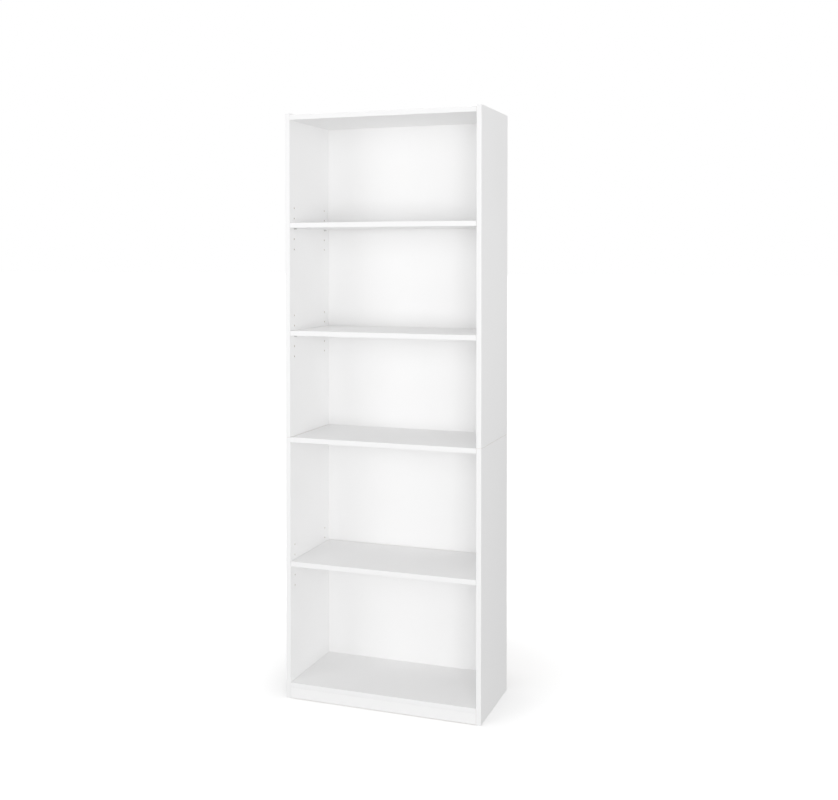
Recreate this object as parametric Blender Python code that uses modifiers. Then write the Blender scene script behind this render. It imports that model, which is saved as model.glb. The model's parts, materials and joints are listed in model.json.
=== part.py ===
"""A tall flat-pack bookcase with three adjustable shelves. Metres, +Z up, front towards -Y.

The origin is on the floor at the middle of the footprint. Each side is made of two boards that
meet level with the top of the fixed middle shelf. Cam locks and cam bolts hold the fixed boards,
wooden dowels line them up, and the adjustable shelves lie on steel pins in drilled side holes.
"""

import math

import bmesh
import bpy
from mathutils import Matrix, Vector

# Overall size and board stock
WIDTH = 0.630
DEPTH = 0.292
HEIGHT = 1.813
BOARD = 0.015
BACK_BOARD = 0.003
EDGE_ROUND = 0.0003
GAP = 0.0003

# Heights of the boards
TOP_DROP = 0.0055
MIDDLE_SHELF_TOP = 0.813
BOTTOM_SHELF_TOP = 0.049
KICK_FLOOR_GAP = 0.0015
ADJUSTABLE_TOPS = {"high": 1.476, "upper": 1.143, "low": 0.427}

# Fit of the adjustable shelves and of the back
SHELF_END_GAP = 0.001
SHELF_BACK_GAP = 0.002
BACK_INSET = 0.0015
BACK_FOLD_GAP = 0.001

# Shelf pins and their rows of holes
PIN_RADIUS = 0.0025
PIN_IN_BOARD = 0.008
PIN_REACH = 0.008
PIN_HOLE_DEPTH = 0.0095
PIN_CHAMFER = 0.0005
HOLE_PITCH = 0.032
HOLES_EACH_WAY = 2
HOLE_INSET = 0.032
HOLE_REAR_MARGIN = 0.020

# Cam locks
CAM_RADIUS = 0.0074
CAM_FLOOR = 0.0022
CAM_DISTANCE = 0.024
CAM_INSET = 0.050
CAM_CAVITY_RADIUS = 0.0053
CAM_CAVITY_OFFSET = 0.00035
CAM_CAVITY_HEIGHT = 0.0068
CAM_FIT = 0.0005
CROSS_LENGTH = 0.0085
CROSS_WIDTH = 0.0014
CROSS_DEPTH = 0.0018

# Cam bolts
BOLT_THREAD_RADIUS = 0.0024
BOLT_THREAD_LENGTH = 0.0100
BOLT_TIP_LENGTH = 0.0015
BOLT_COLLAR_RADIUS = 0.0034
BOLT_COLLAR = 0.0014
BOLT_NECK_RADIUS = 0.0015
BOLT_HEAD_RADIUS = 0.0029
BOLT_HEAD_FROM_AXIS = 0.0019
BOLT_HEAD_STEPS = 4

# Wooden dowels
DOWEL_RADIUS = 0.003
DOWEL_CHAMFER = 0.0008
SEAM_DOWEL_LENGTH = 0.030
SEAM_DOWEL_FROM_BOLT = 0.02435
KICK_DOWEL_IN_SIDE = 0.010
KICK_DOWEL_LENGTH = 0.025
HOLE_END_ROOM = 0.0006

# Facets round each kind of round piece or hole
HOLE_SIDES = 20
PIN_SIDES = 16
BORE_SIDES = 12
CAM_SIDES = 24
BOLT_SIDES = 12

# Places worked out from the sizes
FRONT_Y = -DEPTH / 2
BACK_FACE_Y = DEPTH / 2 - BACK_BOARD
CASE_BACK_Y = BACK_FACE_Y - GAP
CASE_MIDDLE_Y = (FRONT_Y + CASE_BACK_Y) / 2
INNER_X = WIDTH / 2 - BOARD
TOP_PANEL_TOP = HEIGHT - TOP_DROP
FIXED_TOPS = {"top": TOP_PANEL_TOP, "middle": MIDDLE_SHELF_TOP, "bottom": BOTTOM_SHELF_TOP}
HOLE_ROW_ROOM = CASE_BACK_Y - FRONT_Y - HOLE_INSET - HOLE_REAR_MARGIN
HOLE_ROW_SPACING = HOLE_PITCH * math.floor(HOLE_ROW_ROOM / HOLE_PITCH)
HOLE_ROWS_Y = {"front": FRONT_Y + HOLE_INSET, "rear": FRONT_Y + HOLE_INSET + HOLE_ROW_SPACING}
CAM_HEIGHT = BOARD - CAM_FLOOR - 2 * GAP
CAM_ROWS_Y = {"front": FRONT_Y + CAM_INSET, "rear": CASE_BACK_Y - CAM_INSET}
SEAM_DOWELS_Y = {
    "front": CAM_ROWS_Y["front"] + SEAM_DOWEL_FROM_BOLT,
    "rear": CAM_ROWS_Y["rear"] - SEAM_DOWEL_FROM_BOLT,
}
SIDES = {"left": -1, "right": 1}
BORE_RADIUS = BOLT_COLLAR_RADIUS + CAM_FIT
PILOT_RADIUS = BOLT_THREAD_RADIUS + GAP
PILOT_DEPTH = BOLT_THREAD_LENGTH + HOLE_END_ROOM

# Finishes: colour, roughness, metallic
WHITE_LAMINATE = ((0.90, 0.90, 0.91), 0.45, 0.0)
PAINTED_HARDBOARD = ((0.90, 0.90, 0.90), 0.60, 0.0)
ZINC = ((0.60, 0.61, 0.62), 0.40, 1.0)
STEEL = ((0.52, 0.53, 0.55), 0.30, 1.0)
BEECH = ((0.72, 0.56, 0.38), 0.65, 0.0)


def clear_scene():
    for old in list(bpy.data.objects):
        bpy.data.objects.remove(old, do_unlink=True)


def new_collection(name):
    collection = bpy.data.collections.new(name)
    bpy.context.scene.collection.children.link(collection)
    return collection


def new_material(name, finish):
    colour, roughness, metallic = finish
    material = bpy.data.materials.new(name)
    material.use_nodes = True
    shader = material.node_tree.nodes["Principled BSDF"]
    shader.inputs["Base Color"].default_value = (*colour, 1.0)
    shader.inputs["Roughness"].default_value = roughness
    shader.inputs["Metallic"].default_value = metallic
    return material


def add_piece(name, mesh, finish):
    """One named piece in the bookcase collection, with a material of its own."""
    piece = bpy.data.objects.new(name, mesh)
    pieces.objects.link(piece)
    if not mesh.materials:
        mesh.materials.append(None)
    piece.material_slots[0].link = "OBJECT"
    piece.material_slots[0].material = new_material(name, finish)
    return piece


def add_cutter(name, shape):
    """A guide body that Boolean modifiers cut with. It is never part of the bookcase."""
    mesh = bpy.data.meshes.new(name)
    shape.to_mesh(mesh)
    shape.free()
    cutter = bpy.data.objects.new(name, mesh)
    cutters.objects.link(cutter)
    cutter.hide_render = True
    cutter.display_type = "WIRE"
    return cutter


def cut(piece, label, shape):
    """Cuts the bodies in a bmesh out of a piece. The bodies of one cutter don't touch."""
    boolean = piece.modifiers.new(label, "BOOLEAN")
    boolean.operation = "DIFFERENCE"
    boolean.solver = "EXACT"
    boolean.object = add_cutter(f"{piece.name}_{label}", shape)


def facing(direction):
    """The turn that takes +Z to a direction."""
    return Vector((0, 0, 1)).rotation_difference(Vector(direction)).to_matrix().to_4x4()


def cylinder(shape, start, direction, length, radius, sides):
    """Adds a closed cylinder from a start point along a direction."""
    unit = Vector(direction).normalized()
    middle = Vector(start) + unit * length / 2
    bmesh.ops.create_cone(
        shape,
        cap_ends=True,
        segments=sides,
        radius1=radius,
        radius2=radius,
        depth=length,
        matrix=Matrix.Translation(middle) @ facing(unit),
    )


def hole(shape, mouth, inwards, depth, radius, sides):
    """Adds the cutter of a blind hole, with a little overrun outside its mouth."""
    overrun = BOARD / 10
    start = Vector(mouth) - Vector(inwards) * overrun
    cylinder(shape, start, inwards, depth + overrun, radius, sides)


def box(shape, low, high, place=None):
    """Adds a box between two corners, moved by a matrix if one is given."""
    low, high = Vector(low), Vector(high)
    sized = Matrix.Diagonal((*(high - low), 1.0))
    moved = Matrix.Translation((low + high) / 2) @ sized
    bmesh.ops.create_cube(shape, size=1.0, matrix=(place or Matrix.Identity(4)) @ moved)


def board(name, low, high, finish=WHITE_LAMINATE):
    """A board between two corners of the bookcase, its origin at its middle, edges eased."""
    low, high = Vector(low), Vector(high)
    middle = (low + high) / 2
    shape = bmesh.new()
    box(shape, low - middle, high - middle)
    mesh = bpy.data.meshes.new(name)
    shape.to_mesh(mesh)
    shape.free()
    piece = add_piece(name, mesh, finish)
    piece.location = middle
    easing = piece.modifiers.new("eased edges", "BEVEL")
    easing.width = EDGE_ROUND
    easing.segments = 1
    return piece


def turned_mesh(name, profile):
    """The half outline of a turned piece, as radius and height pairs from the top down."""
    mesh = bpy.data.meshes.new(name)
    corners = [(radius, 0.0, height) for radius, height in profile]
    mesh.from_pydata(corners, [(i, i + 1) for i in range(len(corners) - 1)], [])
    return mesh


def turned_piece(name, mesh, finish, place, sides):
    """A turned piece about its own Z axis, put at a matrix."""
    piece = add_piece(name, mesh, finish)
    piece.matrix_world = place
    screw = piece.modifiers.new("turned", "SCREW")
    screw.steps = sides
    screw.render_steps = sides
    screw.use_merge_vertices = True
    screw.merge_threshold = 0.00001
    screw.use_smooth_shade = True
    return piece


def chamfered_rod(radius, low, high, chamfer):
    """The profile of a round rod along Z with a chamfer at each end."""
    return [
        (0.0, high),
        (radius - chamfer, high),
        (radius, high - chamfer),
        (radius, low + chamfer),
        (radius - chamfer, low),
        (0.0, low),
    ]


def pin_height(shelf):
    """Middle of the pins that carry an adjustable shelf."""
    return ADJUSTABLE_TOPS[shelf] - BOARD - GAP - PIN_RADIUS


# ---------------------------------------------------------------- fixed and adjustable boards


def side_holes(sign, low, high):
    """Two rows of pin holes round each adjustable shelf, clear of a board's ends."""
    shape = bmesh.new()
    for shelf in ADJUSTABLE_TOPS:
        for y in HOLE_ROWS_Y.values():
            for step in range(-HOLES_EACH_WAY, HOLES_EACH_WAY + 1):
                z = pin_height(shelf) + step * HOLE_PITCH
                if low + HOLE_PITCH / 2 < z < high - HOLE_PITCH / 2:
                    mouth = (sign * INNER_X, y, z)
                    radius = PIN_RADIUS + GAP
                    hole(shape, mouth, (sign, 0, 0), PIN_HOLE_DEPTH, radius, HOLE_SIDES)
    return shape


def fixing_holes(sign, low, high):
    """Pilot holes for the cam bolts of the fixed boards, and the kick plate's dowel hole."""
    shape = bmesh.new()
    for top in FIXED_TOPS.values():
        for y in CAM_ROWS_Y.values():
            if low < top < high:
                mouth = (sign * INNER_X, y, top - BOARD / 2)
                hole(shape, mouth, (sign, 0, 0), PILOT_DEPTH, PILOT_RADIUS, BORE_SIDES)
    if low < kick_middle().z < high:
        mouth = (sign * INNER_X, kick_middle().y, kick_middle().z)
        depth = KICK_DOWEL_IN_SIDE + HOLE_END_ROOM
        hole(shape, mouth, (sign, 0, 0), depth, DOWEL_RADIUS + GAP, BORE_SIDES)
    return shape


def seam_holes(sign, upwards):
    """Dowel holes in the end of a side board that meets the seam."""
    shape = bmesh.new()
    for y in SEAM_DOWELS_Y.values():
        mouth = (sign * (INNER_X + BOARD / 2), y, MIDDLE_SHELF_TOP + upwards * GAP / 2)
        depth = SEAM_DOWEL_LENGTH / 2 + HOLE_END_ROOM
        hole(shape, mouth, (0, 0, upwards), depth, DOWEL_RADIUS + GAP, BORE_SIDES)
    return shape


def side_boards(side, sign):
    """The lower and the upper board of one side."""
    near, far = sorted((sign * INNER_X, sign * WIDTH / 2))
    seam = MIDDLE_SHELF_TOP
    lower_top = seam - GAP / 2
    upper_low = seam + GAP / 2
    lower = board(f"{side}_side_lower", (near, FRONT_Y, 0), (far, CASE_BACK_Y, lower_top))
    upper = board(f"{side}_side_upper", (near, FRONT_Y, upper_low), (far, CASE_BACK_Y, HEIGHT))
    cut(lower, "pin_holes", side_holes(sign, 0, seam))
    cut(upper, "pin_holes", side_holes(sign, seam, HEIGHT))
    cut(lower, "fixing_holes", fixing_holes(sign, 0, seam + GAP))
    cut(upper, "fixing_holes", fixing_holes(sign, seam + GAP, HEIGHT))
    cut(lower, "seam_holes", seam_holes(sign, -1))
    upper_ends = seam_holes(sign, 1)
    mouth = (sign * (INNER_X + BOARD / 2), CASE_MIDDLE_Y, upper_low)
    hole(upper_ends, mouth, (0, 0, 1), PILOT_DEPTH, PILOT_RADIUS, BORE_SIDES)
    cut(upper, "seam_holes", upper_ends)
    joint = seam_joint(sign)
    cut(lower, "cam_pocket", cam_pockets([joint]))
    cut(lower, "bolt_bore", bolt_bores([joint]))


def fixed_board(name, place):
    """The top panel, the middle shelf or the bottom shelf, held by four cam locks."""
    end = INNER_X - GAP
    top = FIXED_TOPS[place]
    piece = board(name, (-end, FRONT_Y, top - BOARD), (end, CASE_BACK_Y, top))
    joints = [shelf_joint(place, side, row) for side in SIDES for row in CAM_ROWS_Y]
    cut(piece, "cam_pockets", cam_pockets(joints))
    cut(piece, "bolt_bores", bolt_bores(joints))


def adjustable_shelf(shelf):
    """A loose shelf. Its origin is at its front edge, on the line that it slides along."""
    end = INNER_X - SHELF_END_GAP
    top = ADJUSTABLE_TOPS[shelf]
    back = CASE_BACK_Y - SHELF_BACK_GAP
    board(f"adjustable_shelf_{shelf}", (-end, FRONT_Y, top - BOARD), (end, back, top))


def kick_middle():
    """Middle of the kick plate."""
    high = BOTTOM_SHELF_TOP - BOARD - GAP
    return Vector((0, FRONT_Y + BOARD / 2, (KICK_FLOOR_GAP + high) / 2))


def kick_plate():
    """The upright board under the bottom shelf's front edge."""
    end = INNER_X - GAP
    high = BOTTOM_SHELF_TOP - BOARD - GAP
    piece = board("kick_plate", (-end, FRONT_Y, KICK_FLOOR_GAP), (end, FRONT_Y + BOARD, high))
    shape = bmesh.new()
    depth = KICK_DOWEL_LENGTH - KICK_DOWEL_IN_SIDE + HOLE_END_ROOM
    for sign in SIDES.values():
        mouth = (sign * end, kick_middle().y, kick_middle().z)
        hole(shape, mouth, (-sign, 0, 0), depth, DOWEL_RADIUS + GAP, BORE_SIDES)
    cut(piece, "dowel_holes", shape)


def back_panels():
    """Two leaves of thin board on the rear edges. They meet behind the middle shelf."""
    end = WIDTH / 2 - BACK_INSET
    fold = MIDDLE_SHELF_TOP - BOARD / 2
    lowest = BOTTOM_SHELF_TOP - BOARD + BACK_INSET
    highest = TOP_PANEL_TOP - BACK_INSET
    spans = {
        "back_panel_lower": (lowest, fold - BACK_FOLD_GAP / 2),
        "back_panel_upper": (fold + BACK_FOLD_GAP / 2, highest),
    }
    for name, (low, high) in spans.items():
        corners = (-end, BACK_FACE_Y, low), (end, DEPTH / 2, high)
        board(name, *corners, PAINTED_HARDBOARD)


# ---------------------------------------------------------------- cam locks and their bolts


def joint_frame(axis_point, towards_bolt, head_out):
    """A cam joint's own frame: +X to the bolt's board, +Z out of the cam's head."""
    x = Vector(towards_bolt)
    z = Vector(head_out)
    turn = Matrix((x, z.cross(x), z)).transposed().to_4x4()
    return Matrix.Translation(Vector(axis_point)) @ turn


def shelf_joint(place, side, row):
    """Frame of one cam joint of a fixed board. Only the top panel's cams face up."""
    sign = SIDES[side]
    x = sign * (INNER_X - GAP - CAM_DISTANCE)
    if place == "top":
        face, out = FIXED_TOPS[place], (0, 0, 1)
    else:
        face, out = FIXED_TOPS[place] - BOARD, (0, 0, -1)
    return joint_frame((x, CAM_ROWS_Y[row], face), (sign, 0, 0), out)


def seam_joint(sign):
    """Frame of the cam joint that pulls the two boards of a side together."""
    z = MIDDLE_SHELF_TOP - GAP / 2 - CAM_DISTANCE
    return joint_frame((sign * INNER_X, CASE_MIDDLE_Y, z), (0, 0, 1), (-sign, 0, 0))


def cam_pockets(joints):
    """Round pockets for the cams, in the face of the board that holds them."""
    shape = bmesh.new()
    for frame in joints:
        inwards = -(frame.to_3x3() @ Vector((0, 0, 1)))
        depth = CAM_HEIGHT + 2 * GAP
        hole(shape, frame.translation, inwards, depth, CAM_RADIUS + GAP, CAM_SIDES)
    return shape


def bolt_bores(joints):
    """Bores from the end of the board to the cams, for the bolts' shanks."""
    shape = bmesh.new()
    for frame in joints:
        start = frame @ Vector((CAM_CAVITY_RADIUS, 0, -BOARD / 2))
        outwards = frame.to_3x3() @ Vector((1, 0, 0))
        length = CAM_DISTANCE - CAM_CAVITY_RADIUS + BOARD / 10
        cylinder(shape, start, outwards, length, BORE_RADIUS, BORE_SIDES)
    return shape


def cam_mesh():
    """The cam's plain drum, its head at the top and the board's face at height 0."""
    shape = bmesh.new()
    top = (0, 0, -GAP)
    cylinder(shape, top, (0, 0, -1), CAM_HEIGHT, CAM_RADIUS, CAM_SIDES)
    mesh = bpy.data.meshes.new("cam_drum")
    shape.to_mesh(mesh)
    shape.free()
    mesh.shade_smooth()
    mesh.set_sharp_from_angle(angle=math.radians(40))
    return mesh


def cam_cutters():
    """What is taken out of the drum, each as a function that fills a bmesh in its frame."""
    bolt_z = -BOARD / 2
    reach = 2 * CAM_RADIUS
    slot = BOLT_NECK_RADIUS + CAM_FIT
    cross = CROSS_LENGTH / 2, CROSS_WIDTH / 2
    cross_low = -GAP - CROSS_DEPTH

    def cavity(shape, frame):
        low = frame @ Vector((-CAM_CAVITY_OFFSET, 0, bolt_z - CAM_CAVITY_HEIGHT / 2))
        up = frame.to_3x3() @ Vector((0, 0, 1))
        cylinder(shape, low, up, CAM_CAVITY_HEIGHT, CAM_CAVITY_RADIUS, CAM_SIDES)

    def neck_slot(shape, frame):
        box(shape, (-reach, -reach, bolt_z - slot), (reach, slot, bolt_z + slot), frame)

    def entry(shape, frame):
        start = frame @ Vector((0, 0, bolt_z))
        away = frame.to_3x3() @ Vector((-1, 0, 0))
        cylinder(shape, start, away, reach, BOLT_HEAD_RADIUS + CAM_FIT, BORE_SIDES)

    def cross_along(shape, frame):
        box(shape, (-cross[0], -cross[1], cross_low), (cross[0], cross[1], 0), frame)

    def cross_over(shape, frame):
        box(shape, (-cross[1], -cross[0], cross_low), (cross[1], cross[0], 0), frame)

    return {
        "cavity": cavity,
        "neck_slot": neck_slot,
        "entry": entry,
        "cross_along": cross_along,
        "cross_over": cross_over,
    }


def bolt_mesh():
    """A cam bolt along +Z: thread below the board's face at 0, then collar, neck and head."""
    head_middle = GAP + CAM_DISTANCE - BOLT_HEAD_FROM_AXIS
    neck_low = GAP + CAM_DISTANCE - CAM_RADIUS - CAM_FIT
    profile = [(0.0, head_middle + BOLT_HEAD_RADIUS)]
    neck_angle = math.asin(BOLT_NECK_RADIUS / BOLT_HEAD_RADIUS)
    for step in range(1, BOLT_HEAD_STEPS + 1):
        angle = (math.pi - neck_angle) * step / BOLT_HEAD_STEPS
        radius = BOLT_HEAD_RADIUS * math.sin(angle)
        profile.append((radius, head_middle + BOLT_HEAD_RADIUS * math.cos(angle)))
    profile += [
        (BOLT_NECK_RADIUS, neck_low),
        (BOLT_THREAD_RADIUS, neck_low - BOLT_NECK_RADIUS),
        (BOLT_THREAD_RADIUS, GAP + BOLT_COLLAR),
        (BOLT_COLLAR_RADIUS, GAP + BOLT_COLLAR),
        (BOLT_COLLAR_RADIUS, GAP),
        (BOLT_THREAD_RADIUS, GAP),
        (BOLT_THREAD_RADIUS, BOLT_TIP_LENGTH - BOLT_THREAD_LENGTH),
        (BOLT_NECK_RADIUS, -BOLT_THREAD_LENGTH),
        (0.0, -BOLT_THREAD_LENGTH),
    ]
    return turned_mesh("cam_bolt", profile)


def cam_joint(label, frame, drum, bolt):
    """One cam lock on its own turning axis, and the bolt that it grips."""
    cam = add_piece(f"cam_lock_{label}", drum, ZINC)
    cam.matrix_world = frame
    for name, fill in cam_cutters().items():
        shape = bmesh.new()
        fill(shape, frame)
        cut(cam, name, shape)
    root = frame @ Vector((CAM_DISTANCE + GAP, 0, -BOARD / 2))
    back = frame.to_3x3() @ Vector((-1, 0, 0))
    turned_piece(
        f"cam_bolt_{label}", bolt, STEEL, Matrix.Translation(root) @ facing(back), BOLT_SIDES
    )


def cam_joints():
    drum = cam_mesh()
    bolt = bolt_mesh()
    for place in FIXED_TOPS:
        for side in SIDES:
            for row in CAM_ROWS_Y:
                cam_joint(f"{place}_{side}_{row}", shelf_joint(place, side, row), drum, bolt)
    for side, sign in SIDES.items():
        cam_joint(f"seam_{side}", seam_joint(sign), drum, bolt)


# ---------------------------------------------------------------- pins and dowels


def shelf_pins():
    """Four steel pins under each adjustable shelf. Each origin is at its hole's mouth."""
    mesh = turned_mesh("shelf_pin", chamfered_rod(PIN_RADIUS, -PIN_IN_BOARD, PIN_REACH, PIN_CHAMFER))
    for shelf in ADJUSTABLE_TOPS:
        for side, sign in SIDES.items():
            for row, y in HOLE_ROWS_Y.items():
                mouth = Vector((sign * INNER_X, y, pin_height(shelf)))
                place = Matrix.Translation(mouth) @ facing((-sign, 0, 0))
                turned_piece(f"shelf_pin_{shelf}_{side}_{row}", mesh, STEEL, place, PIN_SIDES)


def dowels():
    """Fluted beech dowels, drawn plain: two in each side seam, one at each end of the kick."""
    half = SEAM_DOWEL_LENGTH / 2
    seam_mesh = turned_mesh("seam_dowel", chamfered_rod(DOWEL_RADIUS, -half, half, DOWEL_CHAMFER))
    kick_rod = chamfered_rod(
        DOWEL_RADIUS, -KICK_DOWEL_IN_SIDE, KICK_DOWEL_LENGTH - KICK_DOWEL_IN_SIDE, DOWEL_CHAMFER
    )
    kick_mesh = turned_mesh("kick_dowel", kick_rod)
    for side, sign in SIDES.items():
        for row, y in SEAM_DOWELS_Y.items():
            middle = Vector((sign * (INNER_X + BOARD / 2), y, MIDDLE_SHELF_TOP))
            name = f"dowel_seam_{side}_{row}"
            turned_piece(name, seam_mesh, BEECH, Matrix.Translation(middle), PIN_SIDES)
        mouth = Vector((sign * INNER_X, kick_middle().y, kick_middle().z))
        place = Matrix.Translation(mouth) @ facing((-sign, 0, 0))
        turned_piece(f"dowel_kick_{side}", kick_mesh, BEECH, place, PIN_SIDES)


clear_scene()
pieces = new_collection("bookcase")
cutters = new_collection("cutters")
for side_name, side_sign in SIDES.items():
    side_boards(side_name, side_sign)
fixed_board("top_panel", "top")
fixed_board("middle_shelf", "middle")
fixed_board("bottom_shelf", "bottom")
for shelf_name in ADJUSTABLE_TOPS:
    adjustable_shelf(shelf_name)
kick_plate()
back_panels()
cam_joints()
shelf_pins()
dowels()
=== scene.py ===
"""Looks of a tall white flat-pack bookcase with adjustable shelves.

Everything is in metres in the bookcase's own frame: +X to the right, +Y to the back, +Z up, the
floor at height 0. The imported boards, cam bolts and dowels stay as they are and get their finishes
here. The shelf pins, the back leaves and the cam locks' faces are made again with finer surfaces,
and the nails, the fold tape and the rims of the pin holes are added.
"""

import json
import math

import bmesh
import bpy
import numpy as np
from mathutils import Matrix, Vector


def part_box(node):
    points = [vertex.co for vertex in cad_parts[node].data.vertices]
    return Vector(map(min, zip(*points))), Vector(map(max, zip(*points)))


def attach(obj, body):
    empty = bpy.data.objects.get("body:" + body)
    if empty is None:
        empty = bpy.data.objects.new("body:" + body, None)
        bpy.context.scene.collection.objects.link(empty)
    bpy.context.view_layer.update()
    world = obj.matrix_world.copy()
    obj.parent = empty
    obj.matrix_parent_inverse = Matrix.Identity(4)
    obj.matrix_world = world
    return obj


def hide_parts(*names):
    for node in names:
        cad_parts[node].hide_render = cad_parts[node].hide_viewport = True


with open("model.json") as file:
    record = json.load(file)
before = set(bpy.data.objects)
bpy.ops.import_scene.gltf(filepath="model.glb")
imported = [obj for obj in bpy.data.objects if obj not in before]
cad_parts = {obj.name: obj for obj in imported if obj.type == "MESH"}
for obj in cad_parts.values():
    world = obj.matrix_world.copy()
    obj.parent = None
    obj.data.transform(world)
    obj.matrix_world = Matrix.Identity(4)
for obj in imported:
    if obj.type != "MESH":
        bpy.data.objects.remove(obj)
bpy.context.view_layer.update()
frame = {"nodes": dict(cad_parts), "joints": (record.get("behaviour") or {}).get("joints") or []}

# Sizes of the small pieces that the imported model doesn't hold
HOLE_PITCH = 0.032
HOLES_EACH_WAY = 2
RIM_RADIUS = 0.00305
RIM_THICKNESS = 0.00022
RIM_FACETS = 28
PIN_FACETS = 32
NAIL_HEAD_RADIUS = 0.0024
NAIL_HEAD_HEIGHT = 0.0007
NAIL_EDGE_INSET = 0.008
NAIL_PITCH = 0.125
NAIL_SUNK = 0.0002
NAIL_FACETS = 16
TAPE_WIDTH = 0.038
TAPE_THICKNESS = 0.00025
TAPE_STAND_OFF = 0.00006
TAPE_END_GAP = 0.002
FOLD_DIP_WIDTH = 0.0014
BACK_BOW = 0.0009
CAM_FACE_INNER = 0.0046
CAM_FACE_OUTER = 0.0071
CAM_FACE_RELIEF = 0.00022
CAM_FACE_SKIN = 0.00003
CAM_FACE_SUNK = 0.00005
CAM_FACE_FACETS = 96
CAM_RIM_INSET = 0.0005
CAM_RIM_WIDTH = 0.00035
CAM_RIM_LEVEL = 0.9
POINTER_HALF_WIDTH = 0.0011
POINTER_LENGTH = 0.0022
POINTER_FLAT = 1.4


# ---------------------------------------------------------------- shader wiring


class Wire:
    """An output socket of a material. Arithmetic on wires and numbers adds Math nodes."""

    def __init__(self, tree, socket):
        self.tree = tree
        self.socket = socket

    def math(self, operation, *values):
        node = self.tree.nodes.new("ShaderNodeMath")
        node.operation = operation
        for socket, value in zip(node.inputs, values):
            plug(self.tree, socket, value)
        return Wire(self.tree, node.outputs[0])

    def __add__(self, other):
        return self.math("ADD", self, other)

    def __sub__(self, other):
        return self.math("SUBTRACT", self, other)

    def __rsub__(self, other):
        return self.math("SUBTRACT", other, self)

    def __mul__(self, other):
        return self.math("MULTIPLY", self, other)

    def __truediv__(self, other):
        return self.math("DIVIDE", self, other)

    __radd__ = __add__
    __rmul__ = __mul__

    def __gt__(self, other):
        return self.math("GREATER_THAN", self, other)

    def __lt__(self, other):
        return self.math("LESS_THAN", self, other)

    def lower_of(self, other):
        return self.math("MINIMUM", self, other)

    def higher_of(self, other):
        return self.math("MAXIMUM", self, other)

    def size(self):
        return self.math("ABSOLUTE", self)

    def wave(self):
        return self.math("SINE", self)

    def root(self):
        return self.math("SQRT", self)

    def clamped(self):
        return self.higher_of(0.0).lower_of(1.0)


def plug(tree, socket, value):
    """Links a wire to an input socket, or sets the socket's own value."""
    if isinstance(value, Wire):
        tree.links.new(value.socket, socket)
    else:
        socket.default_value = value


class Finish:
    """A material round one Principled shader, and the calls that build what varies over it."""

    def __init__(self, name, colour, roughness, metallic=0.0, **constants):
        self.material = bpy.data.materials.new(name)
        self.material.use_nodes = True
        self.material.diffuse_color = (*colour, 1.0)
        self.tree = self.material.node_tree
        self.shader = self.tree.nodes["Principled BSDF"]
        constants.update({"Base Color": (*colour, 1.0), "Roughness": roughness, "Metallic": metallic})
        for socket, value in constants.items():
            self.shader.inputs[socket.replace("_", " ")].default_value = value

    def node(self, kind, settings, inputs, output=0):
        """Any node: its settings are put in first, then its sockets' values or wires."""
        node = self.tree.nodes.new(kind)
        for name, value in settings.items():
            setattr(node, name, value)
        for name, value in inputs.items():
            plug(self.tree, node.inputs[name], value)
        return Wire(self.tree, node.outputs[output])

    def place(self):
        return self.node("ShaderNodeTexCoord", {}, {}, "Object")

    def axes(self):
        """The three Object coordinates of a surface point, as separate wires."""
        split = self.tree.nodes.new("ShaderNodeSeparateXYZ")
        plug(self.tree, split.inputs[0], self.place())
        return [Wire(self.tree, output) for output in split.outputs]

    def scaled(self, scale):
        """Object coordinates stretched by a factor along each axis."""
        return self.node("ShaderNodeMapping", {}, {"Vector": self.place(), "Scale": scale})

    def noise(self, scale, detail=2.0, roughness=0.5, at=None):
        inputs = {"Vector": at or self.place(), "Scale": scale, "Detail": detail, "Roughness": roughness}
        return self.node("ShaderNodeTexNoise", {}, inputs, "Fac")

    def chips(self, scale, at=None):
        """A random level for each cell of a Voronoi pattern."""
        inputs = {"Vector": at or self.place(), "Scale": scale}
        colour = self.node("ShaderNodeTexVoronoi", {}, inputs, "Color")
        return self.node("ShaderNodeSeparateColor", {}, {"Color": colour}, "Red")

    def spread(self, value, low, high, to_low=0.0, to_high=1.0):
        """A value's range carried smoothly to another range."""
        inputs = {1: low, 2: high, 3: to_low, 4: to_high}
        settings = {"interpolation_type": "SMOOTHSTEP"}
        return self.node("ShaderNodeMapRange", settings, {0: value, **inputs})

    def blend(self, factor, first, second):
        """The first colour where the factor is 0, the second where it is 1."""
        node = self.tree.nodes.new("ShaderNodeMix")
        node.data_type = "RGBA"
        sockets = [s for s in node.inputs if s.enabled]
        for socket, value in zip(sockets, (factor, first, second)):
            if isinstance(value, tuple):
                value = (*value, 1.0)
            plug(self.tree, socket, value)
        return Wire(self.tree, next(s for s in node.outputs if s.enabled))

    def relief(self, height, distance):
        """Small surface relief from a height between 0 and 1, times a distance in metres."""
        inputs = {"Height": height, "Distance": distance, "Strength": 1.0}
        self.set("Normal", self.node("ShaderNodeBump", {}, inputs))

    def set(self, socket, wire):
        plug(self.tree, self.shader.inputs[socket], wire)

    def on(self, *objects):
        """Puts the finish in every material slot of the objects."""
        for target in objects:
            if not target.material_slots:
                target.data.materials.append(self.material)
            for holder in target.material_slots:
                holder.material = self.material


# ---------------------------------------------------------------- surfaces from arrays


def grid_quads(rows, columns, wrap_rows=False, wrap_columns=False):
    """Quads between neighbouring points of a rows by columns grid, as indices."""
    row = np.arange(rows if wrap_rows else rows - 1)[:, None]
    column = np.arange(columns if wrap_columns else columns - 1)[None, :]
    below, beside = (row + 1) % rows, (column + 1) % columns
    corners = (
        row * columns + column,
        row * columns + beside,
        below * columns + beside,
        below * columns + column,
    )
    return np.stack(corners, -1).reshape(-1, 4)


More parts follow.
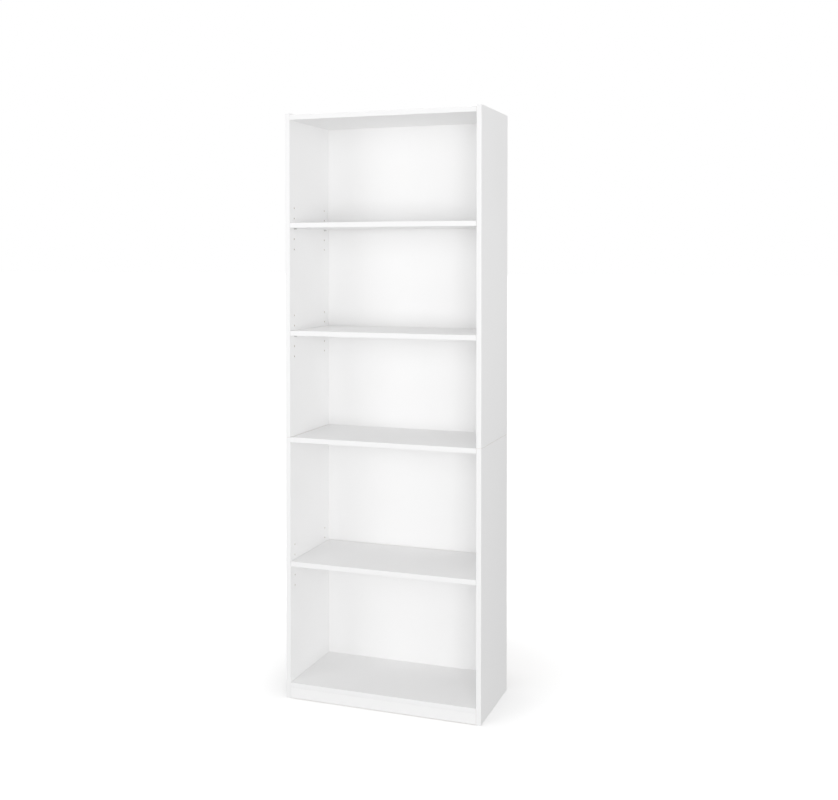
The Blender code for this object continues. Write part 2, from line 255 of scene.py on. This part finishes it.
def surface(name, points, wrap_rows=False, wrap_columns=False):
    """An object from a (copies, rows, columns, 3) array of points: each copy is one grid.

    Points that fall together, as at a pole, are merged, and the faces are turned outwards.
    """
    copies, rows, columns, _ = points.shape
    quads = grid_quads(rows, columns, wrap_rows, wrap_columns)
    offsets = np.arange(copies)[:, None, None] * rows * columns
    faces = (quads[None] + offsets).reshape(-1, 4)
    mesh = bpy.data.meshes.new(name)
    mesh.from_pydata(points.reshape(-1, 3).tolist(), [], faces.tolist())
    shape = bmesh.new()
    shape.from_mesh(mesh)
    bmesh.ops.remove_doubles(shape, verts=shape.verts, dist=1e-7)
    bmesh.ops.recalc_face_normals(shape, faces=shape.faces)
    shape.to_mesh(mesh)
    shape.free()
    piece = bpy.data.objects.new(name, mesh)
    bpy.context.scene.collection.objects.link(piece)
    return piece


def smooth(piece, degrees):
    """Smooth shading, apart from edges sharper than an angle."""
    piece.data.shade_smooth()
    piece.data.set_sharp_from_angle(angle=math.radians(degrees))


def axes_across(direction):
    """Two unit vectors square to a direction and to each other."""
    direction = np.asarray(direction, float)
    spare = np.eye(3)[np.argmin(np.abs(direction))]
    first = np.cross(direction, spare)
    first /= np.linalg.norm(first)
    return first, np.cross(direction, first)


def turned(profile, centres, direction, steps):
    """Points of turned copies: radius r and height h at angle t give
    centre + h * direction + r * (cos t * across + sin t * along)."""
    radius, height = np.asarray(profile, float).T
    angle = np.arange(steps) * 2 * math.pi / steps
    across, along = axes_across(direction)
    ring = np.cos(angle)[:, None] * across + np.sin(angle)[:, None] * along
    one = radius[:, None, None] * ring + height[:, None, None] * np.asarray(direction, float)
    return np.asarray(centres, float)[:, None, None, :] + one


def arc(centre, radius, start, end, steps):
    """Points (centre + radius * (cos, sin)) between two angles in degrees."""
    angle = np.radians(np.linspace(start, end, steps))
    return np.stack((centre[0] + radius * np.cos(angle), centre[1] + radius * np.sin(angle)), -1)


def slab(columns_at, rows_at, front, back):
    """Points of a closed thin board over a grid of x and z, between two surfaces y(x, z).

    Going down the rows the grid passes over the front, round the lower edge and up the back, so
    one wrapped grid closes the board except at its two ends, which taper to nothing.
    """
    x, z = np.meshgrid(columns_at, rows_at)
    near = np.stack((x, front(x, z), z), -1)
    far = np.stack((x, back(x, z), z), -1)[::-1]
    loop = np.concatenate((near, far))
    middle = (loop + loop[::-1]) / 2
    start, end = middle[:, :1], middle[:, -1:]
    return np.concatenate((start, loop, end), axis=1)[None]


# ---------------------------------------------------------------- finishes

CHIP_TAN = (0.50, 0.36, 0.22)
CHIP_DARK = (0.27, 0.18, 0.10)
FIBRE_BROWN = (0.25, 0.145, 0.078)
FIBRE_DARK = (0.12, 0.062, 0.030)
WHITE = (0.90, 0.90, 0.903)
WHITE_WARM = (0.885, 0.883, 0.88)
BAND_WHITE = (0.862, 0.862, 0.865)
BAND_THICKNESS = 0.0007
JOINT_LINE_HALF = 0.00018
JOINT_GREY = (0.52, 0.51, 0.49)
PORE_GREY = (0.70, 0.70, 0.70)
CUT_DEPTH = 0.00045
FACE_DEPTH = 0.0001


def chipboard(finish):
    """Colour and relief of raw particle board: pressed chips a few millimetres long."""
    coarse = finish.chips(420.0, finish.scaled((1.0, 1.0, 2.2)))
    fine = finish.noise(1500.0, 3.0, 0.6)
    tone = coarse * 0.6 + fine * 0.4
    return finish.blend(tone, CHIP_DARK, CHIP_TAN), tone


def laminate(name, node, grain, raw_faces, banded):
    """White melamine on a particle board panel.

    Where the surface lies inside the board's own box, as in a drilled hole, and on the raw faces
    named, the chips show. The white has a faint pore print along the grain axis, a slow change of
    tone, a slightly greyer band glued on the front edge and the hairline where the band ends.
    """
    low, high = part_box(node)
    finish = Finish(name, WHITE, 0.42, Specular_IOR_Level=0.5)
    axes = finish.axes()
    inside = None
    for axis, near, far in zip(axes, low, high):
        depth = (axis - near).lower_of(far - axis)
        inside = depth if inside is None else inside.lower_of(depth)
    raw = inside > CUT_DEPTH
    for axis, at_high in raw_faces:
        skin = (high[axis] - axes[axis]) if at_high else (axes[axis] - low[axis])
        raw = raw.higher_of(skin < FACE_DEPTH)

    stretch = [260.0, 260.0, 260.0]
    stretch[grain] = 16.0
    pores = finish.noise(6.0, 3.0, 0.65, finish.scaled(tuple(stretch)))
    print_lines = finish.spread(pores, 0.56, 0.74)
    mottle = finish.noise(5.0, 2.0, 0.5)
    skin_tone = finish.blend(mottle, WHITE, WHITE_WARM)
    from_front = axes[1] - low[1]
    if banded:
        skin_tone = finish.blend(from_front < BAND_THICKNESS, skin_tone, BAND_WHITE)
    joint_line = (from_front - BAND_THICKNESS).size() < JOINT_LINE_HALF
    skin_tone = finish.blend(joint_line * 0.5, skin_tone, JOINT_GREY)
    skin_tone = finish.blend(print_lines * 0.035, skin_tone, PORE_GREY)
    chip_colour, chip_level = chipboard(finish)
    finish.set("Base Color", finish.blend(raw, skin_tone, chip_colour))
    finish.set("Roughness", 0.40 + 0.08 * mottle + 0.05 * print_lines + 0.42 * raw)
    orange_peel = finish.noise(900.0, 1.0, 0.4)
    skin_relief = orange_peel * 0.10 - print_lines * 0.16
    finish.relief(skin_relief * (1 - raw) + chip_level * raw, 0.0003)
    return finish


def back_skin(name):
    """Thin hardboard: a white paper face in front, brown fibre with a wire screen mark behind."""
    finish = Finish(name, WHITE, 0.55, Specular_IOR_Level=0.4)
    x, _, z = finish.axes()
    settings = {"attribute_name": "depth_in_leaf"}
    brown = finish.node("ShaderNodeAttribute", settings, {}, "Fac") > 0.1
    fibre = finish.noise(700.0, 4.0, 0.6)
    patches = finish.noise(26.0, 4.0, 0.7)
    screen = ((x * 2600.0).wave() * (z * 2600.0).wave() + 1) * 0.5
    tone = fibre * 0.5 + patches * 0.3 + screen * 0.2
    hardboard = finish.blend(finish.spread(tone, 0.25, 0.75), FIBRE_DARK, FIBRE_BROWN)
    paper = finish.blend(finish.noise(7.0, 2.0, 0.5), WHITE, WHITE_WARM)
    finish.set("Base Color", finish.blend(brown, paper, hardboard))
    finish.set("Roughness", 0.50 + 0.08 * fibre + 0.22 * brown)
    grain = finish.noise(1300.0, 2.0, 0.5) * 0.25
    finish.relief(grain * (1 - brown) + (screen * 0.6 + fibre * 0.4) * brown, 0.00025)
    return finish


def cast_zinc():
    """Die-cast zinc: dull grey with a slightly granular skin and darker patches at random."""
    finish = Finish("cast_zinc", (0.55, 0.56, 0.57), 0.42, 1.0)
    grain = finish.noise(2600.0, 3.0, 0.6)
    patches = finish.noise(260.0, 2.0, 0.5)
    finish.set("Base Color", finish.blend(patches, (0.43, 0.44, 0.45), (0.62, 0.63, 0.64)))
    finish.set("Roughness", 0.34 + 0.22 * grain)
    finish.relief(grain, 0.00006)
    return finish


def plated_steel():
    """Nickel-plated steel with fine turning marks round the piece."""
    finish = Finish("plated_steel", (0.56, 0.555, 0.54), 0.28, 1.0)
    turning = finish.noise(12.0, 3.0, 0.6, finish.scaled((900.0, 60.0, 60.0)))
    finish.set("Base Color", finish.blend(turning, (0.46, 0.455, 0.44), (0.62, 0.615, 0.60)))
    finish.set("Roughness", 0.20 + 0.18 * turning)
    finish.relief(turning, 0.00003)
    return finish


def beech():
    """Raw beech: fine grain with short darker flecks along the dowel."""
    finish = Finish("beech", (0.56, 0.39, 0.23), 0.7)
    grain = finish.noise(30.0, 3.0, 0.6, finish.scaled((40.0, 40.0, 8.0)))
    flecks = finish.spread(finish.noise(60.0, 1.0, 0.5, finish.scaled((40.0, 40.0, 10.0))), 0.6, 0.7)
    finish.set("Base Color", finish.blend(grain, (0.62, 0.45, 0.28), (0.47, 0.31, 0.17)))
    finish.set("Roughness", 0.62 + 0.15 * grain + 0.1 * flecks)
    finish.relief(grain - flecks * 0.3, 0.00008)
    return finish


def rim_plastic():
    """The skin pushed up a hair round a drilled hole, painted grey and darker than the white board:
    painted shade round the hole's mouth, with a random mottle.
    """
    finish = Finish("hole_rim", WHITE, 0.45)
    rim_mottle = finish.noise(3000.0, 2.0, 0.5)
    # Painted shade: both greys of the ring are darker than the board's white, so each hole's mouth reads
    # dark.
    finish.set("Base Color", finish.blend(rim_mottle, (0.80, 0.80, 0.80), (0.66, 0.65, 0.63)))
    finish.set("Roughness", 0.40 + 0.2 * rim_mottle)
    return finish


def nail_metal():
    """Small bright nails, dulled in patches."""
    finish = Finish("nail_metal", (0.50, 0.49, 0.47), 0.4, 1.0)
    stain = finish.noise(1400.0, 3.0, 0.6)
    finish.set("Base Color", finish.blend(stain, (0.36, 0.34, 0.31), (0.58, 0.57, 0.55)))
    finish.set("Roughness", 0.30 + 0.35 * stain)
    return finish


def fold_tape():
    """Off-white paper tape: cross fibres and a faint yellowing in patches."""
    finish = Finish("fold_tape", (0.66, 0.63, 0.56), 0.7)
    fibre = finish.noise(8.0, 4.0, 0.6, finish.scaled((30.0, 200.0, 200.0)))
    age = finish.spread(finish.noise(14.0, 3.0, 0.6), 0.35, 0.7)
    paper = finish.blend(fibre, (0.72, 0.70, 0.65), (0.56, 0.53, 0.47))
    finish.set("Base Color", finish.blend(age * 0.5, paper, (0.60, 0.51, 0.36)))
    finish.set("Roughness", 0.62 + 0.2 * fibre)
    finish.relief(fibre, 0.0002)
    return finish


X, Y, Z = 0, 1, 2
LOW, HIGH = False, True
RAW_FACES = {
    "left_side_lower": (Z, [(Y, HIGH), (Z, LOW), (Z, HIGH)]),
    "right_side_lower": (Z, [(Y, HIGH), (Z, LOW), (Z, HIGH)]),
    "left_side_upper": (Z, [(Y, HIGH), (Z, LOW)]),
    "right_side_upper": (Z, [(Y, HIGH), (Z, LOW)]),
    "top_panel": (X, [(Y, HIGH), (X, LOW), (X, HIGH)]),
    "middle_shelf": (X, [(Y, HIGH), (X, LOW), (X, HIGH)]),
    "bottom_shelf": (X, [(Y, HIGH), (X, LOW), (X, HIGH)]),
    "kick_plate": (X, [(X, LOW), (X, HIGH), (Z, LOW)]),
    "adjustable_shelf_high": (X, [(Y, HIGH)]),
    "adjustable_shelf_upper": (X, [(Y, HIGH)]),
    "adjustable_shelf_low": (X, [(Y, HIGH)]),
}
nodes = frame["nodes"]
for board_node, (grain_axis, raw) in RAW_FACES.items():
    banded = board_node != "kick_plate"
    laminate(f"laminate_{board_node}", board_node, grain_axis, raw, banded).on(nodes[board_node])
zinc = cast_zinc()
steel = plated_steel()
wood = beech()
zinc.on(*(nodes[n] for n in nodes if n.startswith("cam_lock")))
steel.on(*(nodes[n] for n in nodes if n.startswith("cam_bolt")))
wood.on(*(nodes[n] for n in nodes if n.startswith("dowel")))


# ---------------------------------------------------------------- shelf pins and their holes


def middle(node):
    """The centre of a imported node's box."""
    low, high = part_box(node)
    return (low + high) / 2


def pin_profile(radius, length):
    """Half outline of a pin centred on its middle: rounded ends and a shallow ring groove."""
    half = length / 2
    round_off = radius * 0.35
    groove = radius * 0.12
    shoulder = (radius - round_off, half - round_off)
    tail = (radius - round_off, -half + round_off)
    return np.concatenate((
        [(0.0, half)],
        arc(shoulder, round_off, 90, 0, 6),
        [(radius, groove * 2), (radius - groove, groove)],
        [(radius - groove, -groove), (radius, -groove * 2)],
        arc(tail, round_off, 0, -90, 6),
        [(0.0, -half)],
    ))


def shelf_pins():
    """A turned steel pin in the place of each packed pin, riding on that pin's body."""
    for node in [n for n in nodes if n.startswith("shelf_pin")]:
        low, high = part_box(node)
        profile = pin_profile((high.z - low.z) / 2, high.x - low.x)
        points = turned(profile, [middle(node)], (1, 0, 0), PIN_FACETS)
        piece = surface(f"turned_{node}", points, False, True)
        smooth(piece, 35)
        steel.on(piece)
        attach(piece, node.replace("shelf_pin", "pin"))
        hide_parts(node)


def hole_rims():
    """A hair-thin raised ring round every pin hole's mouth: a small circle carried round it."""
    finish = rim_plastic()
    section = arc((RIM_RADIUS, 0.0), RIM_THICKNESS, 180, 0, 5)
    section = np.concatenate((section, [(RIM_RADIUS, -RIM_THICKNESS / 2)]))
    for board_node in ("left_side_lower", "left_side_upper", "right_side_lower", "right_side_upper"):
        low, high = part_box(board_node)
        inwards = 1.0 if high.x < 0 else -1.0
        face = high.x if high.x < 0 else low.x
        side = board_node.split("_")[0]
        mouths = []
        for node in [n for n in nodes if n.startswith("shelf_pin") and side in n]:
            pin = middle(node)
            if low.z < pin.z < high.z:
                steps = range(-HOLES_EACH_WAY, HOLES_EACH_WAY + 1)
                mouths += [(face, pin.y, pin.z + k * HOLE_PITCH) for k in steps]
        rings = turned(section, mouths, (inwards, 0, 0), RIM_FACETS)
        piece = surface(f"pin_hole_rims_{board_node}", rings, True, True)
        smooth(piece, 60)
        finish.on(piece)
        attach(piece, "case")


# ---------------------------------------------------------------- back leaves, nails and tape


def bow(x, z, low, high):
    """How far a leaf stands back between its nailed edges: a sine arch across and up it."""
    across = np.sin(np.pi * (x - low.x) / (high.x - low.x))
    up = np.sin(np.pi * (z - low.z) / (high.z - low.z))
    ripple = 1 + 0.25 * np.sin(11.0 * x + 3.0 * z) + 0.2 * np.sin(7.0 * z + 1.3)
    return BACK_BOW * np.clip(across, 0, 1) * np.clip(up, 0, 1) ** 0.5 * ripple


def back_leaves():
    """Each packed leaf again, standing back a little where nothing holds it."""
    for node in ("back_panel_lower", "back_panel_upper"):
        low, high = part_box(node)
        columns = np.linspace(low.x, high.x, 90)
        rows = np.linspace(high.z, low.z, 140)
        points = slab(
            columns,
            rows,
            lambda x, z: low.y + bow(x, z, low, high),
            lambda x, z: high.y + bow(x, z, low, high),
        )
        piece = surface(node.replace("panel", "leaf"), points, True, False)
        smooth(piece, 40)
        depth = piece.data.attributes.new("depth_in_leaf", "FLOAT", "POINT")
        place = np.empty(len(piece.data.vertices) * 3, np.float32)
        piece.data.vertices.foreach_get("co", place)
        x, y, z = place.reshape(-1, 3).T
        depth.data.foreach_set("value", (y - low.y - bow(x, z, low, high)) / (high.y - low.y))
        back_skin(f"hardboard_{node}").on(piece)
        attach(piece, "case")
        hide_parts(node)


def spaced(low, high, pitch):
    """Even places from low to high, no further apart than a pitch."""
    return np.linspace(low, high, int(math.ceil((high - low) / pitch)) + 1)


def nails():
    """Round-headed nails through the back leaves into the boards behind which they lie."""
    low_leaf, high_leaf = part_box("back_panel_lower"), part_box("back_panel_upper")
    y = low_leaf[1].y
    places = []
    for side in ("left", "right"):
        x = middle(f"{side}_side_lower").x
        for leaf in (low_leaf, high_leaf):
            start = leaf[0].z + NAIL_EDGE_INSET * 2
            end = leaf[1].z - NAIL_EDGE_INSET * 2
            places += [(x, y, z) for z in spaced(start, end, NAIL_PITCH)]
    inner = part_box("top_panel")
    columns = spaced(inner[0].x + NAIL_PITCH / 2, inner[1].x - NAIL_PITCH / 2, NAIL_PITCH)
    over_tape = TAPE_THICKNESS + 3 * TAPE_STAND_OFF
    rows = (
        (middle("top_panel").z, 0.0, 0.0),
        (high_leaf[0].z + NAIL_EDGE_INSET / 2, 0.25, over_tape),
        (low_leaf[1].z - NAIL_EDGE_INSET / 2, -0.25, over_tape),
        (middle("bottom_shelf").z, 0.0, 0.0),
    )
    places += [(x + shift * NAIL_PITCH, y + lift, z) for x in columns for z, shift, lift in rows]
    dome = arc((0.0, -NAIL_HEAD_HEIGHT * 1.5), NAIL_HEAD_RADIUS * 1.05, 90, 28, 5)
    dome = dome - [0.0, dome[-1, 1] - NAIL_HEAD_HEIGHT * 0.35]
    skirt = [(NAIL_HEAD_RADIUS, NAIL_HEAD_HEIGHT * 0.2)]
    skirt += [(NAIL_HEAD_RADIUS, -NAIL_SUNK), (0.0, -NAIL_SUNK)]
    profile = np.concatenate(([(0.0, dome[0, 1])], dome[1:], skirt))
    piece = surface("back_nails", turned(profile, places, (0, 1, 0), NAIL_FACETS), False, True)
    smooth(piece, 50)
    nail_metal().on(piece)
    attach(piece, "case")


def tape():
    """The paper strip over the meeting leaves. It lies on their bow and stands off it by a long
    ripple, a set of short slanting wrinkles that fade in and out along it, and a dip at the fold."""
    low_leaf, high_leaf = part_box("back_panel_lower"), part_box("back_panel_upper")
    fold = (low_leaf[1].z + high_leaf[0].z) / 2
    columns = np.linspace(low_leaf[0].x + TAPE_END_GAP, low_leaf[1].x - TAPE_END_GAP, 420)
    rows = np.linspace(fold + TAPE_WIDTH / 2, fold - TAPE_WIDTH / 2, 30)

    def lift(x, z):
        leaves = bow(x, z, *low_leaf) + bow(x, z, *high_leaf)
        across = np.cos(np.pi * (z - fold) / TAPE_WIDTH)
        ripple = 0.5 + 0.5 * np.sin(23 * x + 30 * z)
        patches = np.clip(np.sin(31 * x + 1.0) + np.sin(12.7 * x), 0, 1)
        wrinkles = patches * (0.5 + 0.5 * np.sin(520 * x + 210 * z + 2 * np.sin(60 * x)))
        dip = np.exp(-(((z - fold) / FOLD_DIP_WIDTH) ** 2))
        stand_off = TAPE_STAND_OFF * (1 + 3 * across * (ripple + wrinkles)) * (1 - 0.8 * dip)
        return low_leaf[1].y + leaves + stand_off

    points = slab(columns, rows, lift, lambda x, z: lift(x, z) + TAPE_THICKNESS)
    piece = surface("back_fold_tape", points, True, False)
    smooth(piece, 50)
    fold_tape().on(piece)
    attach(piece, "case")


# ---------------------------------------------------------------- cam lock faces


def cam_faces():
    """A cast rim and a pointer on each cam lock's head: a ring whose height depends on its angle."""
    angle = np.arange(CAM_FACE_FACETS) * 2 * math.pi / CAM_FACE_FACETS
    turn = np.abs((angle + math.pi) % (2 * math.pi) - math.pi)
    radius = np.linspace(CAM_FACE_INNER, CAM_FACE_OUTER, 12)
    rim = np.exp(-(((radius - (CAM_FACE_OUTER - CAM_RIM_INSET)) / CAM_RIM_WIDTH) ** 2))
    aside = turn[None] * radius[:, None] / POINTER_HALF_WIDTH
    inwards = (CAM_FACE_OUTER - radius[:, None]) / POINTER_LENGTH
    pointer = np.clip(POINTER_FLAT - aside - inwards, 0, 1)
    relief = np.maximum(rim[:, None] * CAM_RIM_LEVEL, pointer)
    height = CAM_FACE_RELIEF * relief + CAM_FACE_SKIN
    for joint in [j for j in frame["joints"] if j["child"].startswith("cam_")]:
        label = joint["child"][len("cam_"):]
        out = np.asarray(joint["axis"], float)
        low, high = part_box(f"cam_lock_{label}")
        centre = np.asarray((low + high) / 2)
        reach = abs(float(np.dot(np.asarray(high - low), out))) / 2
        head = centre + out * reach
        toward = np.asarray(middle(f"cam_bolt_{label}")) - centre
        toward -= out * np.dot(toward, out)
        toward /= np.linalg.norm(toward)
        across = np.cross(out, toward)
        spokes = np.cos(angle)[:, None] * toward + np.sin(angle)[:, None] * across
        top = head + radius[:, None, None] * spokes + height[..., None] * out
        under = head + radius[::-1, None, None] * spokes - CAM_FACE_SUNK * out
        piece = surface(f"cam_face_{label}", np.concatenate((top, under))[None], True, True)
        smooth(piece, 45)
        zinc.on(piece)
        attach(piece, joint["child"])


shelf_pins()
hole_rims()
back_leaves()
nails()
tape()
cam_faces()


# ---------------------------------------------------------------- floor, light and camera

FLOOR_REACH = 80.0
# The floor's glow is painted dimmer near the bookcase as painted shade and rises to its far level
# further out. Ambient occlusion over a short reach darkens it as a painted contact shadow.
GLOW_IN_PAINTED_SHADE = 0.57
FAR_GLOW = 1.1
GLOW_STARTS = 0.35
GLOW_ENDS = 1.3
PAINTED_CONTACT_SHADOW_REACH = 0.2
SKY = 1.0
SKY_TOP = 0.40
SKY_FADE = 0.14
SKY_FOOT = -0.15
SKY_FOOT_FADE = 0.1
BELOW = 0.30
BELOW_STARTS = -0.05
MIDTONE_LIFT = 1.6
LENS_LENGTH = 77.720
LENS_SHIFT = -0.15
CAMERA_PLACE = (1.22454, -3.23761, 1.36939)
CAMERA_DIP = 1.1631
CAMERA_TURN = 19.6119
# Each lamp has its place, its target, its width and height in metres and its power in watts
LAMPS = {
    "overhead": ((0.0, -0.6, 4.6), (0, -0.4, 0), 3.0, 3.0, 60.0),
    "key_left": ((-2.0, -3.3, 1.4), (0, 0, 0.8), 1.6, 1.8, 34.0),
    "fill_front": ((1.9, -4.0, 1.05), (0, 0, 0.9), 1.2, 1.4, 58.0),
    "fill_right": ((2.8, -3.0, 1.5), (0, 0, 0.9), 2.0, 2.4, 21.0),
    "low_right": ((2.6, -1.0, 0.5), (0, 0, 0.6), 1.6, 0.9, 4.0),
}


def floor():
    """A white floor that glows a little, as in a bright studio. Near the bookcase its glow is painted
    dimmer, as painted shade, and ambient occlusion darkens it as a painted contact shadow; further out
    it is evenly bright.
    """
    mesh = bpy.data.meshes.new("floor")
    corners = [(-FLOOR_REACH, -FLOOR_REACH, 0), (FLOOR_REACH, -FLOOR_REACH, 0)]
    corners += [(FLOOR_REACH, FLOOR_REACH, 0), (-FLOOR_REACH, FLOOR_REACH, 0)]
    mesh.from_pydata(corners, [], [(0, 1, 2, 3)])
    plane = bpy.data.objects.new("floor", mesh)
    bpy.context.scene.collection.objects.link(plane)
    finish = Finish("floor_white", (0.92, 0.92, 0.92), 0.9, Specular_IOR_Level=0.0)
    x, y, _ = finish.axes()
    distance = (x * x + y * y).root()
    # Painted shade: the glow is lower near the bookcase, and ambient occlusion darkens it further as a
    # painted contact shadow.
    glow_with_painted_shade = finish.spread(distance, GLOW_STARTS, GLOW_ENDS, GLOW_IN_PAINTED_SHADE, FAR_GLOW)
    settings = {"samples": 16}
    shade = finish.node("ShaderNodeAmbientOcclusion", settings, {"Distance": PAINTED_CONTACT_SHADOW_REACH}, "AO")
    finish.set("Emission Color", glow_with_painted_shade * shade)
    finish.shader.inputs["Emission Strength"].default_value = 1.0
    finish.on(plane)
    plane.visible_diffuse = False
    plane.visible_glossy = False
    plane.visible_shadow = False


def lamp(name, place, target, width, height, power):
    """A soft rectangular lamp at a place, facing a target."""
    light = bpy.data.lights.new(name, "AREA")
    light.shape = "RECTANGLE"
    light.size = width
    light.size_y = height
    light.energy = power
    holder = bpy.data.objects.new(name, light)
    bpy.context.scene.collection.objects.link(holder)
    holder.location = place
    facing = Vector(target) - Vector(place)
    holder.rotation_euler = facing.to_track_quat("-Z", "Y").to_euler()
    holder.visible_camera = False


def sky(horizon, below):
    """A white horizon that fades out above, with a level of its own for the light from below."""
    world = bpy.data.worlds.new("studio")
    world.use_nodes = True
    tree = world.node_tree
    direction = tree.nodes.new("ShaderNodeTexCoord").outputs["Generated"]
    split = tree.nodes.new("ShaderNodeSeparateXYZ")
    tree.links.new(direction, split.inputs[0])
    height = Wire(tree, split.outputs["Z"])
    from_top = ((height - SKY_TOP) / -SKY_FADE).clamped()
    from_foot = ((height - SKY_FOOT) / SKY_FOOT_FADE).clamped()
    level = horizon * from_top * from_foot + below * (height < BELOW_STARTS)
    background = tree.nodes["Background"]
    background.inputs["Color"].default_value = (1, 1, 1, 1)
    plug(tree, background.inputs["Strength"], level)
    bpy.context.scene.world = world


def camera():
    """An upright medium-format camera level with the upper shelves, its lens shifted down to take
    in the floor, turned towards the bookcase from its right."""
    lens = bpy.data.cameras.new("camera")
    lens.sensor_fit = "VERTICAL"
    lens.sensor_width = 41.5
    lens.sensor_height = 56.0
    lens.lens = LENS_LENGTH
    lens.shift_y = LENS_SHIFT
    lens.clip_end = 300.0
    holder = bpy.data.objects.new("camera", lens)
    bpy.context.scene.collection.objects.link(holder)
    holder.location = CAMERA_PLACE
    holder.rotation_euler = (math.radians(90 - CAMERA_DIP), 0.0, math.radians(CAMERA_TURN))
    bpy.context.scene.camera = holder


camera()
floor()
sky(SKY, BELOW)
for lamp_name, lamp_values in LAMPS.items():
    lamp(lamp_name, *lamp_values)
bpy.context.scene.view_settings.view_transform = "Standard"
bpy.context.scene.view_settings.gamma = MIDTONE_LIFT
